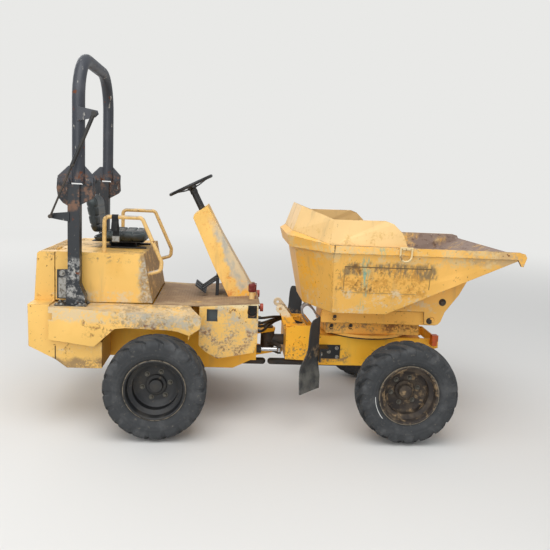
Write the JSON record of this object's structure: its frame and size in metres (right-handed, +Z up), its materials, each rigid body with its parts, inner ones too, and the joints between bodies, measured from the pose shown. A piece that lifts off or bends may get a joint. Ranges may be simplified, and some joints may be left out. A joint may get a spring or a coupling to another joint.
{
  "type": "site dumper",
  "caption": "Articulated swivel-skip site dumper with folding roll hoop, seat over the engine cover and lugged tyres.",
  "frame": {"origin": "centre of the bounding box's base, on the ground", "axes": "+X forward toward the skip lip, +Y to the machine's left, +Z up"},
  "size_m": [3.638, 1.862, 2.7399],
  "materials": {
    "yellow_paint": "faded chrome yellow, rust",
    "chassis_paint": "chrome yellow",
    "guard_paint": "pale cream yellow",
    "charcoal_paint": "satin",
    "black_paint": "worn",
    "cast_iron": "greasy",
    "engine": "dull",
    "chrome_rod": "hard chrome",
    "vinyl": "black vinyl",
    "plastic": "black",
    "rubber": "dusty",
    "tyre": "dusty",
    "lamp_amber": "amber",
    "tread_plate": "dirty",
    "rim_front": "rusty"
  },
  "bodies": {
    "rear_frame": {"rear_chassis": "yellow_paint", "counterweight": "yellow_paint", "rear_cowl": "yellow_paint", "deck": "tread_plate", "fenders": "yellow_paint", "side_tanks": "yellow_paint", "console": "yellow_paint", "steering_column": "black_paint", "controls": "black_paint", "rear_axle": "cast_iron", "engine_block": "engine", "rops_posts": "charcoal_paint"},
    "engine_cover": {"engine_cover": "yellow_paint", "seat_frame": "plastic", "seat_cushion": "vinyl", "seat_back": "vinyl", "handrails": "yellow_paint"},
    "rops": {"rops_hoop": "charcoal_paint"},
    "strut_barrel": {"strut_barrel": "black_paint"},
    "strut_rod": {"strut_rod": "chrome_rod"},
    "steering_wheel": {"steering_wheel": "plastic"},
    "knuckle": {"knuckle": "cast_iron"},
    "steer_barrel": {"steer_barrel": "black_paint"},
    "steer_rod": {"steer_rod": "chrome_rod"},
    "front_frame": {"front_chassis": "chassis_paint", "front_axle": "cast_iron", "slew_ring": "cast_iron", "flap_brackets": "black_paint", "mud_flaps": "rubber", "front_lamps": "lamp_amber"},
    "turntable": {"turntable": "yellow_paint"},
    "tip_barrel": {"tip_barrel": "black_paint"},
    "tip_rod": {"tip_rod": "chrome_rod"},
    "skip": {"skip_body": "yellow_paint", "skip_cradle": "yellow_paint", "spill_guard": "guard_paint", "lifting_rings": "cast_iron"},
    "wheel_rr": {"tyre_rr": "tyre", "rim_rr": "black_paint"},
    "wheel_rl": {"tyre_rl": "tyre", "rim_rl": "black_paint"},
    "wheel_fr": {"tyre_fr": "tyre", "rim_fr": "rim_front"},
    "wheel_fl": {"tyre_fl": "tyre", "rim_fl": "rim_front"}
  },
  "joints": [
    {"name": "wheel_rr_spin", "type": "hinge", "parent": "rear_frame", "child": "wheel_rr", "pos_m": [-0.88, -0.8, 0.38], "axis": [0, 1, 0], "continuous": true},
    {"name": "wheel_rl_spin", "type": "hinge", "parent": "rear_frame", "child": "wheel_rl", "pos_m": [-0.88, 0.8, 0.38], "axis": [0, 1, 0], "continuous": true},
    {"name": "wheel_fr_spin", "type": "hinge", "parent": "front_frame", "child": "wheel_fr", "pos_m": [0.962, -0.8, 0.38], "axis": [0, 1, 0], "continuous": true},
    {"name": "wheel_fl_spin", "type": "hinge", "parent": "front_frame", "child": "wheel_fl", "pos_m": [0.962, 0.8, 0.38], "axis": [0, 1, 0], "continuous": true},
    {"name": "articulation", "type": "hinge", "parent": "rear_frame", "child": "knuckle", "pos_m": [-0.03, 0, 0.548], "axis": [0, 0, 1], "range_deg": [-33, 33]},
    {"name": "oscillation", "type": "hinge", "parent": "knuckle", "child": "front_frame", "pos_m": [-0.03, 0, 0.548], "axis": [1, 0, 0], "range_deg": [-10, 10]},
    {"name": "skip_swivel", "type": "hinge", "parent": "front_frame", "child": "turntable", "pos_m": [0.78, 0, 0.668], "axis": [0, 0, 1], "range_deg": [-90, 90]},
    {"name": "skip_tip", "type": "hinge", "parent": "turntable", "child": "skip", "pos_m": [1.235, 0, 0.85], "axis": [0, 1, 0], "range_deg": [0, 60]},
    {"name": "steer_ram_pivot", "type": "hinge", "parent": "rear_frame", "child": "steer_barrel", "pos_m": [-0.41, -0.17, 0.505], "axis": [0, 0, 1], "range_deg": [-6.17, 6.17]},
    {"name": "steer_ram_stroke", "type": "slide", "parent": "steer_barrel", "child": "steer_rod", "axis": [1, 0, 0], "range_m": [-0.09592, 0.09592]},
    {"name": "tip_ram_pivot", "type": "hinge", "parent": "turntable", "child": "tip_barrel", "pos_m": [0.472, 0, 0.735], "axis": [0, 1, 0], "range_deg": [-0.5, 3.3]},
    {"name": "tip_ram_stroke", "type": "slide", "parent": "tip_barrel", "child": "tip_rod", "axis": [0.9235, 0, 0.3836], "range_m": [-0.001, 0.19349]},
    {"name": "hoop_fold", "type": "hinge", "parent": "rear_frame", "child": "rops", "pos_m": [-1.585, 0, 1.8], "axis": [0, -1, 0], "range_deg": [0, 100]},
    {"name": "strut_pivot", "type": "hinge", "parent": "rops", "child": "strut_barrel", "pos_m": [-1.35, -0.676, 2.28957], "axis": [0, -1, 0], "range_deg": [-27.6, 0.5]},
    {"name": "strut_stroke", "type": "slide", "parent": "strut_barrel", "child": "strut_rod", "axis": [-0.3835, 0, -0.9236], "range_m": [-0.18967, 0.001]},
    {"name": "engine_cover_open", "type": "hinge", "parent": "rear_frame", "child": "engine_cover", "pos_m": [-1.667, 0, 1.303], "axis": [0, -1, 0], "range_deg": [0, 60]},
    {"name": "steering_wheel_turn", "type": "hinge", "parent": "rear_frame", "child": "steering_wheel", "pos_m": [-0.708, 0, 1.812], "axis": [-0.4587, 0, 0.8886], "continuous": true}
  ],
  "couplings": [
    {"joint": "steer_ram_pivot", "follows": "articulation", "ratio": 0.1719},
    {"joint": "steer_ram_stroke", "follows": "articulation", "m_per_rad": 0.1648},
    {"joint": "tip_ram_pivot", "follows": "skip_tip", "ratio": 0.04666},
    {"joint": "tip_ram_stroke", "follows": "skip_tip", "m_per_rad": 0.18286},
    {"joint": "strut_pivot", "follows": "hoop_fold", "ratio": -0.27096},
    {"joint": "strut_stroke", "follows": "hoop_fold", "m_per_rad": -0.10753}
  ]
}
